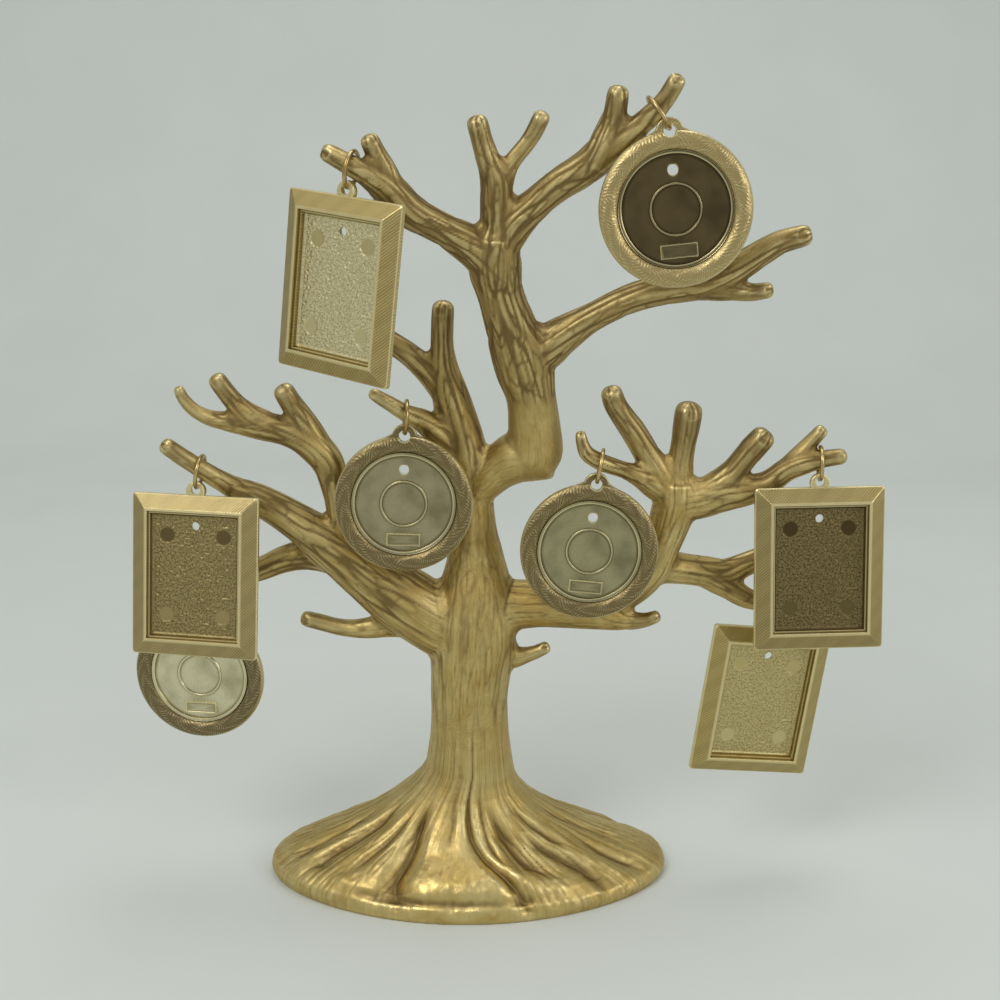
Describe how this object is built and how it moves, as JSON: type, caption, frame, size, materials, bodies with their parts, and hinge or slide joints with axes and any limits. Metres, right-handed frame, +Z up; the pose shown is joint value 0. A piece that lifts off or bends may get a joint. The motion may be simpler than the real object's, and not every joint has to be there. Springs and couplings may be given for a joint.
{
  "type": "photo tree stand",
  "caption": "Free-standing gold-toned tree with a spread of roots, whose bare twigs carry small oblong and round photo frames on wire rings.",
  "frame": {"origin": "centre of the foot's underside", "axes": "+Z up, +X to the viewer's right, front towards -Y"},
  "size_m": [0.2398, 0.0834, 0.2605],
  "materials": {
    "cast_gold": "antiqued, satin to polished",
    "wire_gold": "bright drawn wire",
    "frame_gold": "antiqued, polished on the raised rims"
  },
  "bodies": {
    "tree": {"root_foot": "cast_gold", "trunk": "cast_gold", "crown_stem": "cast_gold", "crown_left_limb": "cast_gold", "crown_middle_limb": "cast_gold", "crown_right_limb": "cast_gold", "upper_right_limb": "cast_gold", "middle_left_limb": "cast_gold", "left_limb": "cast_gold", "left_upper_limb": "cast_gold", "right_limb": "cast_gold", "right_fan_limb": "cast_gold", "right_lower_limb": "cast_gold", "trunk_hook": "cast_gold"},
    "ring_1": {"ring_1": "wire_gold"},
    "frame_1": {"frame_1": "frame_gold"},
    "ring_2": {"ring_2": "wire_gold"},
    "frame_2": {"frame_2": "frame_gold"},
    "ring_3": {"ring_3": "wire_gold"},
    "frame_3": {"frame_3": "frame_gold"},
    "ring_4": {"ring_4": "wire_gold"},
    "frame_4": {"frame_4": "frame_gold"},
    "ring_5": {"ring_5": "wire_gold"},
    "frame_5": {"frame_5": "frame_gold"},
    "ring_6": {"ring_6": "wire_gold"},
    "frame_6": {"frame_6": "frame_gold"},
    "ring_7": {"ring_7": "wire_gold"},
    "frame_7": {"frame_7": "frame_gold"},
    "ring_8": {"ring_8": "wire_gold"},
    "frame_8": {"frame_8": "frame_gold"}
  },
  "joints": [
    {"name": "ring_1_swing", "type": "hinge", "parent": "tree", "child": "ring_1", "pos_m": [-0.03025, -0.03225, 0.23513], "axis": [-0.8862, 0, 0.4633], "range_deg": [-4, 30]},
    {"name": "frame_1_sway", "type": "hinge", "parent": "ring_1", "child": "frame_1", "pos_m": [-0.03168, -0.0335, 0.22946], "axis": [-0.2008, -0.9448, 0.2588], "range_deg": [-10, 10]},
    {"name": "ring_2_swing", "type": "hinge", "parent": "tree", "child": "ring_2", "pos_m": [0.05387, -0.03325, 0.25025], "axis": [-0.6452, 0.3062, -0.6999], "range_deg": [-4, 30]},
    {"name": "frame_2_sway", "type": "hinge", "parent": "ring_2", "child": "frame_2", "pos_m": [0.0574, -0.03504, 0.24546], "axis": [-0.1344, -0.9565, 0.2588], "range_deg": [-10, 10]},
    {"name": "ring_3_swing", "type": "hinge", "parent": "tree", "child": "ring_3", "pos_m": [-0.08213, -0.01025, 0.143], "axis": [-0.7421, -0.3056, 0.5966], "range_deg": [-4, 30]},
    {"name": "frame_3_sway", "type": "hinge", "parent": "ring_3", "child": "frame_3", "pos_m": [-0.08341, -0.0123, 0.13742], "axis": [0.0164, -0.9395, 0.342], "range_deg": [-10, 10]},
    {"name": "ring_4_swing", "type": "hinge", "parent": "tree", "child": "ring_4", "pos_m": [-0.08637, -0.00462, 0.10088], "axis": [-0.9787, -0.1671, -0.1194], "range_deg": [-8, 16]},
    {"name": "frame_4_sway", "type": "hinge", "parent": "ring_4", "child": "frame_4", "pos_m": [-0.0871, -0.00546, 0.09461], "axis": [-0.0691, -0.9879, 0.1392], "range_deg": [-10, 10]},
    {"name": "ring_5_swing", "type": "hinge", "parent": "tree", "child": "ring_5", "pos_m": [-0.01798, -0.01075, 0.16057], "axis": [-0.707, -0.5001, 0.5001], "range_deg": [-4, 24]},
    {"name": "frame_5_sway", "type": "hinge", "parent": "ring_5", "child": "frame_5", "pos_m": [-0.0184, -0.01244, 0.15457], "axis": [0.1344, -0.9565, 0.2588], "range_deg": [-10, 10]},
    {"name": "ring_6_swing", "type": "hinge", "parent": "tree", "child": "ring_6", "pos_m": [0.042, -0.014, 0.146], "axis": [-0.8535, -0.2438, 0.4606], "range_deg": [-4, 30]},
    {"name": "frame_6_sway", "type": "hinge", "parent": "ring_6", "child": "frame_6", "pos_m": [0.0407, -0.01555, 0.13998], "axis": [-0.0506, -0.9646, 0.2588], "range_deg": [-10, 10]},
    {"name": "ring_7_swing", "type": "hinge", "parent": "tree", "child": "ring_7", "pos_m": [0.11017, -0.01075, 0.14595], "axis": [-0.9636, 0.1533, -0.219], "range_deg": [-6, 30]},
    {"name": "frame_7_sway", "type": "hinge", "parent": "ring_7", "child": "frame_7", "pos_m": [0.11, -0.01245, 0.13999], "axis": [-0.1005, -0.956, 0.2756], "range_deg": [-10, 10]},
    {"name": "ring_8_swing", "type": "hinge", "parent": "tree", "child": "ring_8", "pos_m": [0.10113, -0.0015, 0.096], "axis": [-0.9605, 0.1769, -0.2148], "range_deg": [-8, 30]},
    {"name": "frame_8_sway", "type": "hinge", "parent": "ring_8", "child": "frame_8", "pos_m": [0.10064, -0.00221, 0.08971], "axis": [0.104, -0.9891, 0.1045], "range_deg": [-10, 10]}
  ]
}
